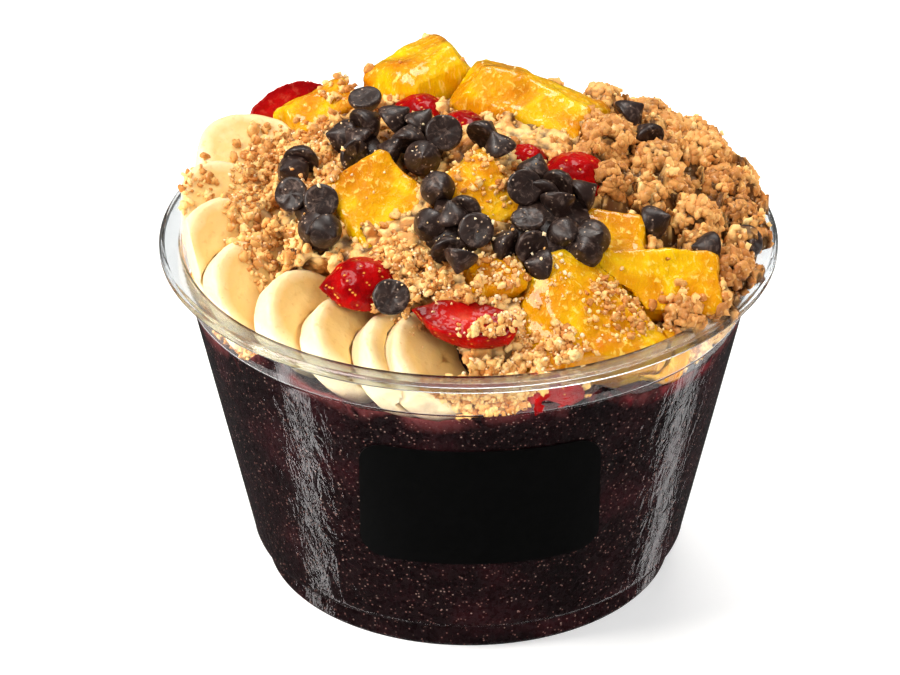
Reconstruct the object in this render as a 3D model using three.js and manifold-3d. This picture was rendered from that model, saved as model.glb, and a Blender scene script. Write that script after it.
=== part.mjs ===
// An acai bowl: a clear tub of acai, heaped with granola, banana slices, mango chunks, strawberry pieces and chocolate chips.
// Millimetres. The tub stands on z = 0 with its axis on Z, and -Y is its front, where the label is.
import * as THREE from "three";
import { mergeVertices } from "three/addons/utils/BufferGeometryUtils.js";
import { ConvexGeometry } from "three/addons/geometries/ConvexGeometry.js";
import { ImprovedNoise } from "three/addons/math/ImprovedNoise.js";
import Module from "manifold-3d";

const wasm = await Module();
wasm.setup();

// ---------- driving dimensions ----------

// The tub, a 946 ml (32 oz) thin-walled bowl.
const RIM_RADIUS = 75;
const TUB_HEIGHT = 87.5;
const WALL = 0.8;
const MOUTH_RADIUS = 69.9; // where the flat flange turns down into the wall
const LIP_DROP = 2.3; // how far the flange's outer edge turns down
const SHOULDER_Z = 75; // the small step where a stacked tub stops
const SHOULDER_RADIUS = 68;
const HEEL_Z = 9.6; // where the wall starts to curve in
const HEEL_RADIUS = 53.5;
const FOOT_RADIUS = 50;
const FOOT_HEIGHT = 6;
const FOOT_STEP = 1.2; // how far the crease above the foot goes in
const FLOOR_RECESS = 1.2; // how far the floor stands above the foot's flat edge
const TUB_SIDES = 36;

// The label, a rounded rectangle on the front of the wall.
const LABEL_WIDTH = 57;
const LABEL_HEIGHT = 35.6;
const LABEL_CORNER = 6;
const LABEL_X = 2.7;
const LABEL_Z = 46.5;
const LABEL_THICKNESS = 0.35;

// The mound: the surface that the toppings' tops lie near, highest a little behind the axis.
const MOUND_EDGE = 89.5;
const MOUND_RISE = 24;
const MOUND_RADIUS = 72;
const MOUND_BACK = 8;

// The acai, domed under the toppings.
const ACAI_EDGE = 76.8;
const ACAI_RISE = 15;
const GRANOLA_DROP = 2; // how far the granola's own surface lies under the mound
const BED_SIDES = 24;
const CRUMB_SPOTS = 60;

// Pieces
const CHIP_RADIUS = 4.4;
const CHIP_HEIGHT = 6.4;
const CHIP_SIDES = 6;
const CHIP_LIFT = 2.4; // how far the chips' middles lie above the mound
const BANANA_THICKNESS = 8;
const BANANA_TOP = 2.8; // height of the upper face above the place given in the table
const BANANA_SIDES = 14;
const BANANA_BEVEL = 1.1;
const BANANA_HEADROOM = 6; // how high no granola lies over the slices
const BERRY_SIDES = 8;
const GAP = 0.3; // left between any two pieces

// ---------- helpers ----------

const DEGREE = Math.PI / 180;

// A repeatable random number from 0 to 1 for each call.
function seeded(seed) {
  let state = seed;
  return () => {
    state = (state + 0x6d2b79f5) | 0;
    let t = Math.imul(state ^ (state >>> 15), 1 | state);
    t = (t + Math.imul(t ^ (t >>> 7), 61 | t)) ^ t;
    return ((t ^ (t >>> 14)) >>> 0) / 4294967296;
  };
}

// A closed three.js geometry as a solid that can be joined and cut.
function solidOf(geometry) {
  const bare = geometry.index ? geometry.toNonIndexed() : geometry.clone();
  bare.deleteAttribute("normal");
  bare.deleteAttribute("uv");
  const merged = mergeVertices(bare, 1e-3);
  return new wasm.Manifold(
    new wasm.Mesh({
      numProp: 3,
      vertProperties: merged.attributes.position.array,
      triVerts: new Uint32Array(merged.index.array),
    }),
  );
}

// A solid back as a three.js geometry.
function geometryOf(solid) {
  const mesh = solid.getMesh();
  return new THREE.BufferGeometry()
    .setAttribute("position", new THREE.BufferAttribute(mesh.vertProperties, 3))
    .setIndex(new THREE.BufferAttribute(mesh.triVerts, 1));
}

function unionOf(solids) {
  return wasm.Manifold.union(solids);
}

// The largest body of a solid, without the loose scraps that a cut leaves.
function mainBody(solid) {
  return solid.decompose().reduce((a, b) => (a.volume() > b.volume() ? a : b));
}

// A geometry whose own +Z is leaned from the vertical by tilt, towards heading (degrees from +X).
function leanAt(geometry, [x, y, z], tilt, heading, spin = 0) {
  return geometry
    .rotateZ((spin - heading) * DEGREE)
    .rotateY(tilt * DEGREE)
    .rotateZ(heading * DEGREE)
    .translate(x, y, z);
}

// A solid of revolution about Z from [radius, z] points.
function turned(profile, sides = TUB_SIDES) {
  const points = profile.map(([r, z]) => new THREE.Vector2(r, z));
  return new THREE.LatheGeometry(points, sides).rotateX(Math.PI / 2);
}

function moundTop(x, y) {
  const reach = Math.hypot(x, y - MOUND_BACK) / MOUND_RADIUS;
  return MOUND_EDGE + MOUND_RISE * (1 - reach * reach);
}

function acaiTop(x, y) {
  const reach = Math.hypot(x, y) / MOUND_RADIUS;
  const ripple = Math.sin(x / 5 + 1) + Math.sin(y / 4 - x / 9);
  return ACAI_EDGE + ACAI_RISE * (1 - reach * reach) + 0.7 * ripple;
}

// The radius of the tub's inner wall at a height.
function innerRadius(z) {
  const slope = (SHOULDER_RADIUS - HEEL_RADIUS) / (SHOULDER_Z - HEEL_Z);
  return HEEL_RADIUS - WALL + slope * (z - HEEL_Z);
}

// A quarter turn of points from the crease above the foot out to the heel of the wall.
function heelCurve(creaseRadius, creaseZ, heelRadius, heelZ, steps) {
  return Array.from({ length: steps + 1 }, (_, i) => {
    const turn = ((i / steps) * Math.PI) / 2;
    return [
      creaseRadius + (heelRadius - creaseRadius) * Math.sin(turn),
      creaseZ + (heelZ - creaseZ) * (1 - Math.cos(turn)),
    ];
  });
}

// ---------- the tub ----------

const CREASE_RADIUS = FOOT_RADIUS - FOOT_STEP;
const FLOOR_TOP = FLOOR_RECESS + WALL;

function tubOutside() {
  return [
    [0, FLOOR_RECESS],
    [FOOT_RADIUS - 3.4, FLOOR_RECESS],
    [FOOT_RADIUS - 2.4, 0],
    [FOOT_RADIUS - 0.8, 0],
    [FOOT_RADIUS, 0.9],
    [FOOT_RADIUS - 0.2, FOOT_HEIGHT - 0.8],
    ...heelCurve(CREASE_RADIUS, FOOT_HEIGHT, HEEL_RADIUS, HEEL_Z, 3),
    [SHOULDER_RADIUS, SHOULDER_Z],
    [SHOULDER_RADIUS + 0.7, SHOULDER_Z + 0.5],
    [MOUTH_RADIUS + 0.3, TUB_HEIGHT - 1.5],
    [RIM_RADIUS - 1.2, TUB_HEIGHT - 1.4],
    [RIM_RADIUS - 1, TUB_HEIGHT - LIP_DROP],
    [RIM_RADIUS, TUB_HEIGHT - LIP_DROP],
    [RIM_RADIUS, TUB_HEIGHT - 0.7],
    [RIM_RADIUS - 0.8, TUB_HEIGHT],
    [MOUTH_RADIUS, TUB_HEIGHT - 0.3],
  ];
}

// The inner surface, shrunk by inset, from the mouth down to the floor's middle.
function tubInside(inset) {
  return [
    [MOUTH_RADIUS - 0.6 - inset, TUB_HEIGHT - 1],
    [SHOULDER_RADIUS - 0.1 - inset, SHOULDER_Z + 0.7 + inset],
    [SHOULDER_RADIUS - WALL - inset, SHOULDER_Z],
    ...heelCurve(CREASE_RADIUS - WALL - inset, FOOT_HEIGHT + WALL / 2 + inset,
      HEEL_RADIUS - WALL - inset, HEEL_Z + inset, 3).reverse(),
    [FOOT_RADIUS - 1.1 - inset, FOOT_HEIGHT - 1.1],
    [FOOT_RADIUS - 1 - inset, FLOOR_TOP + 0.8],
    [FOOT_RADIUS - 2 - inset, FLOOR_TOP + inset],
    [0, FLOOR_TOP + inset],
  ];
}

// What the food keeps out of: the tub with the gap added to its inside and its flange.
function tubKeepOut() {
  const beyond = RIM_RADIUS + 20;
  return solidOf(turned([
    [0, -beyond],
    [beyond, -beyond],
    [beyond, TUB_HEIGHT + GAP],
    [MOUTH_RADIUS - GAP, TUB_HEIGHT + GAP],
    ...tubInside(GAP),
  ]));
}

// ---------- the label ----------

function labelSolid() {
  const slope = (SHOULDER_RADIUS - HEEL_RADIUS) / (SHOULDER_Z - HEEL_Z);
  const outside = (z) => HEEL_RADIUS + slope * (z - HEEL_Z);
  const [low, high] = [LABEL_Z - LABEL_HEIGHT, LABEL_Z + LABEL_HEIGHT];
  const face = LABEL_THICKNESS + 0.1;
  const sleeve = solidOf(turned([
    [outside(low) + 0.1, low],
    [outside(low) + face, low],
    [outside(high) + face, high],
    [outside(high) + 0.1, high],
    [outside(low) + 0.1, low],
  ]));
  const [w, h, c] = [LABEL_WIDTH / 2, LABEL_HEIGHT / 2, LABEL_CORNER];
  const outline = new THREE.Shape();
  outline.absarc(w - c, h - c, c, 0, Math.PI / 2);
  outline.absarc(c - w, h - c, c, Math.PI / 2, Math.PI);
  outline.absarc(c - w, c - h, c, Math.PI, 1.5 * Math.PI);
  outline.absarc(w - c, c - h, c, 1.5 * Math.PI, 2 * Math.PI);
  const stamp = new THREE.ExtrudeGeometry(outline, {
    depth: RIM_RADIUS, bevelEnabled: false, curveSegments: 4,
  });
  return sleeve.intersect(solidOf(stamp.rotateX(Math.PI / 2).translate(LABEL_X, 0, LABEL_Z)));
}

// ---------- fruit ----------

// A banana slice: a disc with rounded edges and a slightly three-sided outline.
// The grown one is a plain disc round it, with headroom over its upper face.
function bananaSlice({ place, tilt, heading, radius, spin }, grow, headroom = 0) {
  const half = BANANA_THICKNESS / 2 + grow;
  const outer = radius + grow;
  const disc = turned(grow > 0 ? [
    [0, -half],
    [outer, -half],
    [outer, half + headroom],
    [0, half + headroom],
  ] : [
    [0, -half],
    [outer - BANANA_BEVEL, -half],
    [outer, BANANA_BEVEL - half],
    [outer, half - BANANA_BEVEL],
    [outer - BANANA_BEVEL, half],
    [0, half],
  ], BANANA_SIDES);
  disc.translate(0, 0, BANANA_TOP - BANANA_THICKNESS / 2);
  const at = disc.attributes.position;
  for (let i = 0; i < at.count; i++) {
    const [x, y] = [at.getX(i), at.getY(i)];
    const swell = 1 + 0.025 * Math.cos(3 * Math.atan2(y, x));
    at.setXY(i, x * swell, y * swell);
  }
  return solidOf(leanAt(disc, place, tilt, heading, spin));
}

// The row of slices is fanned along the wall, from the topmost one at the front round to the left and back.
// [x, y, z, tilt, heading, slice radius]
const BANANAS = [
  [-7, -53.5, 80.5, 38, -26, 14.2],
  [-14, -53, 81, 38, -28, 13.4],
  [-26, -48, 83, 38, -32, 13.4],
  [-37, -40, 84.5, 40, -38, 13.6],
  [-49, -28, 85.5, 42, -46, 14.2],
  [-56, -16, 90.5, 42, -50, 14.2],
  [-58, 0, 93, 32, -45, 13.6],
  [-52.5, 19, 97, 25, -60, 14],
].map(([x, y, z, tilt, heading, radius], i) => ({ place: [x, y, z], tilt, heading, radius, spin: 40 * i }));

// A mango chunk: a bevelled block, fullest at its waist, with its top drawn in to a ridge or a smaller face.
// Its -X end is narrower than its +X end by the taper.
function mangoChunk({ place, tilt, heading, spin, size, top, taper, seed }, grow) {
  const random = seeded(seed);
  const levels = [[-1, 0.84, 0.84], [0, 1, 1], [1, ...top]];
  const points = [];
  for (const [level, shareX, shareY] of levels) {
    for (const [sx, sy] of [[1, 1], [-1, 1], [-1, -1], [1, -1]]) {
      const width = size[1] * (sx < 0 ? 1 - taper : 1);
      const corner = [
        (sx * size[0] * shareX * (0.94 + 0.12 * random())) / 2,
        (sy * width * shareY * (0.94 + 0.12 * random())) / 2,
        (level * size[2] * (0.94 + 0.12 * random())) / 2,
      ];
      for (const axis of [0, 1]) {
        const eased = corner.map((c, k) => (k === axis ? c : c * 0.86));
        points.push(eased.map((c) => c + Math.sign(c) * grow));
      }
    }
  }
  const hull = new ConvexGeometry(points.map((p) => new THREE.Vector3(...p)));
  return solidOf(leanAt(hull, place, tilt, heading, spin));
}

// [x, y, z, tilt, heading, spin, length, width, height, top's share of the length, and of the width, taper]
const MANGOES = [
  [-10.5, 38.5, 107, 34, -70, 40, 26, 24, 25, 0.5, 0.25, 0],
  [14, 23, 106.5, 30, -84, -24, 38, 27, 19, 0.75, 0.4, 0.1],
  [-35.5, 34, 101, 28, -100, 30, 21, 18, 14, 0.8, 0.5, 0],
  [-20.5, -18.5, 102.5, 36, -84, -52, 25, 24, 13, 0.92, 0.9, 0.2],
  [3, -17, 104.5, 36, -80, -50, 23, 21, 15, 0.8, 0.6, 0.1],
  [22.5, -46, 88.5, 38, -92, -76, 34, 46, 22, 0.85, 0.15, 0.55],
  [30, -26.5, 97.5, 30, -80, -8, 25, 18, 12, 0.88, 0.85, 0],
  [44, -34.5, 91, 44, -78, 6, 31, 18, 13, 0.9, 0.85, 0.1],
  [6.5, -42.5, 97.5, 34, -90, 10, 16, 11, 9, 0.8, 0.7, 0],
  [42, -47, 80.5, 60, -60, 10, 22, 13, 13, 0.8, 0.8, 0],
].map(([x, y, z, tilt, heading, spin, length, width, height, topLength, topWidth, taper], i) => ({
  place: [x, y, z], tilt, heading, spin, taper,
  size: [length, width, height],
  top: [topLength, topWidth],
  seed: 31 + i,
}));

// A strawberry cut lengthways: a berry lying along its own X, tip at -X, with its cut face up.
function strawberryPiece({ place, tilt, heading, spin, length, radius, cut }, grow) {
  const [half, girth] = [length / 2 + grow, radius + grow];
  const berry = turned([
    [0, -half],
    [0.68 * girth, -0.5 * half],
    [girth, 0.24 * half],
    [0.64 * girth, 0.88 * half],
    [0, half],
  ], BERRY_SIDES).rotateY(Math.PI / 2);
  const side = 4 * length;
  const away = new THREE.BoxGeometry(side, side, side).translate(0, 0, side / 2 + cut * radius + grow);
  leanAt(berry, place, tilt, heading, spin);
  leanAt(away, place, tilt, heading, spin);
  return solidOf(berry).subtract(solidOf(away));
}

// [x, y, z, the cut face's tilt (180 is face down), heading, spin, length, radius, height of the cut as a share]
const STRAWBERRIES = [
  [-44.5, 38, 98.5, 50, -70, 35, 27, 8.6, 0],
  [-13, 22, 104.5, 170, -90, 0, 18, 8.5, 0],
  [-2, 11, 106.5, 170, -90, -30, 15, 7.5, 0],
  [24, -5, 101, 165, 90, 40, 20, 10.5, 0],
  [-26, -40.5, 94, 165, 120, 54, 19, 7.5, 0.1],
  [-1, -54.5, 93.5, 12, -90, -16, 26, 6.5, 0.1],
  [18.5, -60, 77.5, 95, 80, 0, 18, 7.5, 0],
  [13, -1, 105.5, 170, -90, 40, 13, 6, 0],
].map(([x, y, z, tilt, heading, spin, length, radius, cut]) => ({
  place: [x, y, z], tilt, heading, spin, length, radius, cut,
}));

// ---------- chocolate chips ----------

// A chip: a flat-based drop whose tip points along its own +Z.
function chipForm([x, y, lift, tilt, heading], grow) {
  const [r, h] = [CHIP_RADIUS + grow, CHIP_HEIGHT + 2 * grow];
  const drop = turned([
    [0, -0.4 * h],
    [r, -0.4 * h],
    [0.74 * r, 0.1 * h],
    [0, 0.6 * h],
  ], CHIP_SIDES);
  return leanAt(drop, [x, y, moundTop(x, y) + CHIP_LIFT + lift], tilt, heading);
}

// The hull that a whole heap of chips keeps clear of granola.
function heapRoom(rows) {
  const points = rows.flatMap((row) => {
    const at = chipForm(row, GAP).attributes.position;
    return Array.from({ length: at.count }, (_, i) => new THREE.Vector3().fromBufferAttribute(at, i));
  });
  return solidOf(new ConvexGeometry(points));
}

// A heap's core, a low dome sunk under its chips.
function heapCore(rows, grow) {
  const points = [];
  for (const [x, y, lift] of rows) {
    const z = moundTop(x, y);
    for (const turn of [0.5, 2.6, 4.7]) {
      const [px, py] = [x + (3 + grow) * Math.cos(turn), y + (3 + grow) * Math.sin(turn)];
      points.push(new THREE.Vector3(px, py, z + CHIP_LIFT + lift - 1.2 + grow));
    }
    points.push(new THREE.Vector3(x, y, z - 4 - grow));
  }
  return solidOf(new ConvexGeometry(points));
}

// Rows are [x, y, lift, tilt, heading]; a tilt of 0 stands the chip on its base with its tip up.
const CHIP_HEAPS = {
  chips_back_left: [
    [-31, 4, 0, 70, 200], [-27, 1, 0, 60, 150], [-24, 6, 1, 75, 40], [-28, -5, -1, 110, 130],
    [-19, -7, 0, 75, 160],
  ],
  chips_back: [
    [-17, 4, 2, 50, 10], [-11, 1, 2, 40, 30], [-6, -4, 1, 128, 95], [-14, -4, 1, 55, 80],
    [-11, -13, 1, 60, -90],
  ],
  chips_middle: [
    [-7, -23, 0, 65, -80], [0, -29, 0, 80, 60], [-4, -32, 1, 20, 120], [-10, -34, 0, 75, -120],
    [2, -37, 1, 125, 80], [-5, -39, -1, 70, 100],
  ],
  chips_right: [
    [16, -14, 0, 40, 60], [13, -23, 1, 120, 100], [18, -22, 0, 75, 70], [22, -18, 0, 80, 60],
    [27.5, -20, 0, 70, 30], [21, -27, 1, 140, -95], [14, -33, 0, 172, 90], [8, -38, -1, 80, 150],
    [23, -35, 0, 70, -70], [30, -35, 2, 52, -60], [27, -38, 0, 60, -100], [14, -39, 0, 100, 120],
    [16, -43, -1, 70, 200],
  ],
  chips_left: [
    [-35, -22, 1, 138, 95], [-41.5, -15, 0, 120, 60], [-37, -29, 0, 75, -110], [-33, -31, 0, 80, -60],
  ],
};
const SINGLE_CHIPS = [
  [-25, 20, 0, 168, 60],
  [-40, 0, 0, 70, 80],
  [-43, -4, -0.5, 65, -130],
  [4, -1, 0, 70, 60],
  [7, -8, 1, 25, 150],
  [-2, -45, 1, 140, -110],
  [-18, -53, 1, 135, 90],
  [40, 25, 0, 60, 20],
  [43, 13, 0, 75, 120],
  [45, -22, 0, 60, -20],
  [56, -25, 0, 70, 200],
  [67, -15, 0, 62, -70],
];

// ---------- granola and acai ----------

// A lathe's top vertices laid on surfaces: each ring's height comes from its own function of x and y.
function draped(rings, sides = TUB_SIDES) {
  const cloth = turned(rings.map(({ radius }, i) => [radius, i]), sides);
  const at = cloth.attributes.position;
  for (let i = 0; i < at.count; i++) {
    const ring = rings[Math.round(at.getZ(i))];
    const [x, y] = [at.getX(i), at.getY(i)];
    at.setZ(i, ring.height(x, y));
  }
  return cloth;
}

const SPREAD = [0.3, 0.6, 0.84]; // the acai's rings, as shares of the radius
const BED_RINGS = 6;

function granolaBed() {
  const noise = new ImprovedNoise();
  const edge = innerRadius(ACAI_EDGE) - 1.5;
  const under = (x, y) => acaiTop(x, y) - 4 * (1 - (x * x + y * y) / (edge * edge));
  const over = (x, y) => {
    const drop = 6 * Math.max(0, Math.hypot(x, y) / edge - 0.76) / 0.24;
    return moundTop(x, y) - GRANOLA_DROP - drop + 1.5 * noise.noise(x / 5, y / 5, 0.5);
  };
  const rings = Array.from({ length: BED_RINGS }, (_, i) => (edge * (BED_RINGS - i)) / BED_RINGS);
  return solidOf(draped([
    { radius: 0, height: under },
    { radius: edge / 2, height: under },
    { radius: edge, height: under },
    ...rings.map((radius) => ({ radius, height: over })),
    { radius: 0, height: over },
  ], BED_SIDES));
}

// A knobbly lump: a ball with few faces and its corners pushed in and out.
function lump(place, ball, random) {
  ball.deleteAttribute("normal");
  ball.deleteAttribute("uv");
  const knobs = mergeVertices(ball);
  const at = knobs.attributes.position;
  for (let i = 0; i < at.count; i++) {
    const push = 0.78 + 0.44 * random();
    at.setXYZ(i, at.getX(i) * push, at.getY(i) * push, at.getZ(i) * push);
  }
  knobs.rotateX(6 * random()).rotateZ(6 * random());
  return solidOf(knobs.translate(...place));
}

// Big clusters of oats lie on the right. Rows are [x, y, lift, radius].
const CLUSTERS = [
  [27, 25, 0, 5], [30, 13, 0, 6], [33, 1, 0, 6], [38, 18, -1, 5], [42, 0, 1, 7], [47, 21, 1, 7],
  [55, 32, 1, 7.5], [52, 9, 1, 7], [60, 17, 1, 7], [37, -12, 0, 5.5], [48, -10, 0, 7], [57, -3, 1, 7],
  [65, 6, 1.5, 6.5], [68, -4, 0.5, 5], [54, -19, 0, 6], [63, -13, 1, 6], [65, -23, 0, 5.5],
  [58, -33, 0, 6], [51, -42, 0, 5.5], [42, -23, -1, 5], [44, 36, 0, 6.5], [33, 38, 0, 6],
  [69, -3, 2, 4], [66, -22, 2, 4],
];

// Loose crumbs are spread evenly over the rest of the mound, along a sunflower spiral.
function granolaLumps() {
  const random = seeded(7);
  const golden = Math.PI * (3 - Math.sqrt(5));
  const lumps = CLUSTERS.flatMap(([x, y, lift, radius]) => {
    const z = moundTop(x, y) - 2.5 + lift;
    const [turn, aside] = [6.28 * random(), 0.4 * radius];
    return [-1, 1].map((side) => lump(
      [x + side * aside * Math.cos(turn), y + side * aside * Math.sin(turn), z + side],
      new THREE.IcosahedronGeometry(0.9 * radius, 0),
      random,
    ));
  });
  for (let i = 0; i < CRUMB_SPOTS; i++) {
    const reach = 64 * Math.sqrt((i + 0.5) / CRUMB_SPOTS);
    const [x, y] = [reach * Math.cos(i * golden), reach * Math.sin(i * golden)];
    const radius = 1.9 + 1.3 * random();
    const place = [x, y, moundTop(x, y) - GRANOLA_DROP + 0.3 * radius];
    lumps.push(lump(place, new THREE.OctahedronGeometry(radius, 0), random));
  }
  return lumps;
}

function acaiBody() {
  const wallRing = (x, y) => acaiTop(x, y);
  const inside = tubInside(GAP).slice(2).reverse();
  const rings = [
    ...inside.slice(0, -1).map(([radius, z]) => ({ radius, height: () => z })),
    { radius: innerRadius(ACAI_EDGE - 3) - GAP, height: wallRing },
    ...SPREAD.slice().reverse().map((s) => ({ radius: s * SHOULDER_RADIUS, height: acaiTop })),
    { radius: 0, height: acaiTop },
  ];
  return solidOf(draped(rings));
}

// ---------- assembly ----------

const looks = {
  tub: new THREE.MeshStandardMaterial({ color: 0xe9eef0, roughness: 0.08, metalness: 0, transparent: true, opacity: 0.3 }),
  label: new THREE.MeshStandardMaterial({ color: 0x101010, roughness: 0.45, metalness: 0 }),
  acai: new THREE.MeshStandardMaterial({ color: 0x3a1a24, roughness: 0.5, metalness: 0 }),
  banana: new THREE.MeshStandardMaterial({ color: 0xf3dfa6, roughness: 0.45, metalness: 0 }),
  mango: new THREE.MeshStandardMaterial({ color: 0xf7b813, roughness: 0.3, metalness: 0 }),
  strawberry: new THREE.MeshStandardMaterial({ color: 0xc2151b, roughness: 0.3, metalness: 0 }),
  chocolate: new THREE.MeshStandardMaterial({ color: 0x35262a, roughness: 0.5, metalness: 0 }),
  granola: new THREE.MeshStandardMaterial({ color: 0xc9985f, roughness: 0.8, metalness: 0 }),
};

const bowl = new THREE.Group();
const tubSpace = tubKeepOut();
const laid = []; // what has been set down so far, each grown by the gap

function addNode(name, solid, look, detail = 0.02) {
  const mesh = new THREE.Mesh(geometryOf(mainBody(solid.simplify(detail))), look);
  mesh.name = name;
  bowl.add(mesh);
}

// Sets a piece of food down: what lies there already keeps its form, and the new piece is cut to it.
function setDown(name, look, shape) {
  addNode(name, shape(0).subtract(unionOf([tubSpace, ...laid])), look);
  laid.push(shape(GAP));
}

addNode("tub", solidOf(turned([...tubOutside(), ...tubInside(0)])), looks.tub);
addNode("label", labelSolid(), looks.label);
MANGOES.forEach((spec, i) => {
  setDown(`mango_${i + 1}`, looks.mango, (grow) => mangoChunk(spec, grow));
});
STRAWBERRIES.forEach((spec, i) => {
  setDown(`strawberry_${i + 1}`, looks.strawberry, (grow) => strawberryPiece(spec, grow));
});
BANANAS.forEach((spec, i) => {
  setDown(`banana_${i + 1}`, looks.banana, (grow) => bananaSlice(spec, grow));
});
for (const [name, rows] of Object.entries(CHIP_HEAPS)) {
  setDown(name, looks.chocolate, (grow) => unionOf(
    [heapCore(rows, grow), ...rows.map((row) => solidOf(chipForm(row, grow)))],
  ));
}
SINGLE_CHIPS.forEach((row, i) => {
  setDown(`chip_${i + 1}`, looks.chocolate, (grow) => solidOf(chipForm(row, grow)));
});
const food = unionOf([tubSpace, ...laid]);
const rooms = [
  ...BANANAS.map((spec) => bananaSlice(spec, GAP, BANANA_HEADROOM)),
  ...Object.values(CHIP_HEAPS).map(heapRoom),
];
const heap = unionOf([granolaBed(), ...granolaLumps()]);
addNode("granola", heap.subtract(unionOf([food, ...rooms])), looks.granola, 0.12);
const underBed = granolaBed().translate([0, 0, -GAP]);
addNode("acai", acaiBody().subtract(unionOf([food, underBed])), looks.acai, 0.08);

export default bowl;
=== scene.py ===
# %% [markdown]
# A clear takeaway tub, filled with frozen acai puree and heaped with fruit, granola and chocolate chips.
# The solids of the part give the places of all its pieces, and this lesson dresses them one after another.
# Lengths are worked out in millimetres, because food is measured so, and become metres when a piece is kept.
# %% start
import math
import random
import bmesh
import bpy
import numpy as np
from mathutils import Matrix, Vector, noise
from mathutils.bvhtree import BVHTree


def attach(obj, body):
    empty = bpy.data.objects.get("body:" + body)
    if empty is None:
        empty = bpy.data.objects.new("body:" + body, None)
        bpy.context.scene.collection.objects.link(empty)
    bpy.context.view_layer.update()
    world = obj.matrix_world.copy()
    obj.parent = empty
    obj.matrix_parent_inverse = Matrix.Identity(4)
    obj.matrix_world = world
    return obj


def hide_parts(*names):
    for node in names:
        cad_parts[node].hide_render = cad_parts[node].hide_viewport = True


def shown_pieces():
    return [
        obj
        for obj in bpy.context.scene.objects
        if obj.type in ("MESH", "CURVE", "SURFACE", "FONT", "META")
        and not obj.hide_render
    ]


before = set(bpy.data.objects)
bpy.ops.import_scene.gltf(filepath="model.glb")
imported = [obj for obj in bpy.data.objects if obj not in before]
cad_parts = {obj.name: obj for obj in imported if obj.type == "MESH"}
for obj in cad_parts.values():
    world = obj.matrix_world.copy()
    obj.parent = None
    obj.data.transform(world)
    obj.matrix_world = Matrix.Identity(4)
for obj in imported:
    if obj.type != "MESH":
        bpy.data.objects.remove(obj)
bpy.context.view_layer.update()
MM = 0.001
print("nodes to dress:", len(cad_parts))

# %% [markdown]
# Every piece passes through the same few steps: its mesh is kept as an object at the origin, it rides on the
# part's one body, it takes a finish, and it stands for a solid of the part.
# %% keeping a piece
def keep(name, bm, crease=None):
    """Turns a bmesh in millimetres into an object in metres, shaded smooth except at creases."""
    bmesh.ops.scale(bm, vec=(MM, MM, MM), verts=bm.verts)
    mesh = bpy.data.meshes.new(name)
    bm.to_mesh(mesh)
    bm.free()
    piece = bpy.data.objects.new(name, mesh)
    bpy.context.scene.collection.objects.link(piece)
    mesh.shade_smooth()
    if crease:
        mesh.set_sharp_from_angle(angle=math.radians(crease))
    return piece


def dress(piece, slot, finish, *nodes):
    """Gives a piece its finish and its place in the part."""
    piece.data.materials.clear()
    piece.data.materials.append(finish)
    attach(piece, "root")
    if nodes:
        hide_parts(*nodes)
    print(f"{piece.name}: {sum(len(p.vertices) - 2 for p in piece.data.polygons)} triangles")
    return piece


# %% [markdown]
# A mesh's points are read and written in one go as a table, which is much quicker than point by point.
# %% reading and moving points
def read(piece, field):
    table = np.empty(len(piece.data.vertices) * 3, np.float32)
    piece.data.vertices.foreach_get(field, table)
    return table.reshape(-1, 3).astype(float)


def points(piece):
    return read(piece, "co") / MM


def normals(piece):
    return read(piece, "normal")


def move_points(piece, table):
    piece.data.vertices.foreach_set("co", (table * MM).astype(np.float32).ravel())
    piece.data.update()


def mark(piece, name, values):
    """Keeps a number at each point for the finish to read."""
    layer = piece.data.attributes.new(name, "FLOAT", "POINT")
    layer.data.foreach_set("value", np.asarray(values, np.float32))


def noise_at(table, size, seed):
    shift = Vector((seed * 17.31, seed * 5.17 + 3, seed * 9.73))
    return np.array([noise.noise(Vector(p) / size + shift) for p in table])


def swell(piece, seed, *waves):
    """Lifts the surface by gentle noise: each wave is (its size, its height)."""
    table, out = points(piece), normals(piece)
    lift = sum(height * noise_at(table, size, seed + k) for k, (size, height) in enumerate(waves))
    move_points(piece, table + out * np.asarray(lift)[:, None])


# %% [markdown]
# A cut fruit in the part is a plain faceted solid, already cut where its neighbour lies on it. A copy of it
# is merged, remeshed in small voxels and smoothed, which rounds its edges and keeps its form. Then there are
# enough points for fibres, pits and dents.
# %% softening a solid
def softened(node, voxel, rounds):
    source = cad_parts[node]
    bm = bmesh.new()
    bm.from_mesh(source.data)
    bmesh.ops.remove_doubles(bm, verts=bm.verts, dist=1e-6)
    bmesh.ops.scale(bm, vec=(1 / MM,) * 3, verts=bm.verts)
    piece = keep(node + "_soft", bm)
    remesh = piece.modifiers.new("voxels", "REMESH")
    remesh.mode, remesh.voxel_size = "VOXEL", voxel * MM
    smooth = piece.modifiers.new("smooth", "SMOOTH")
    smooth.factor, smooth.iterations = 0.5, rounds
    made = bpy.data.meshes.new_from_object(piece.evaluated_get(bpy.context.evaluated_depsgraph_get()))
    piece.modifiers.clear()
    piece.data = made
    made.shade_smooth()
    return piece


def leaned(place, tilt, heading, spin=0):
    """A piece's own +Z leaned by tilt towards heading, at a place."""
    tilt, heading, spin = (math.radians(a) for a in (tilt, heading, spin))
    turn = Matrix.Rotation(heading, 4, "Z") @ Matrix.Rotation(tilt, 4, "Y")
    return Matrix.Translation(place) @ turn @ Matrix.Rotation(spin - heading, 4, "Z")


def own_points(piece, stand):
    """The points as the piece itself sees them, before it was laid down."""
    back = np.array(stand.inverted())
    return points(piece) @ back[:3, :3].T + back[:3, 3]


def from_own(table, stand):
    out = np.array(stand)
    return table @ out[:3, :3].T + out[:3, 3]


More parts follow.
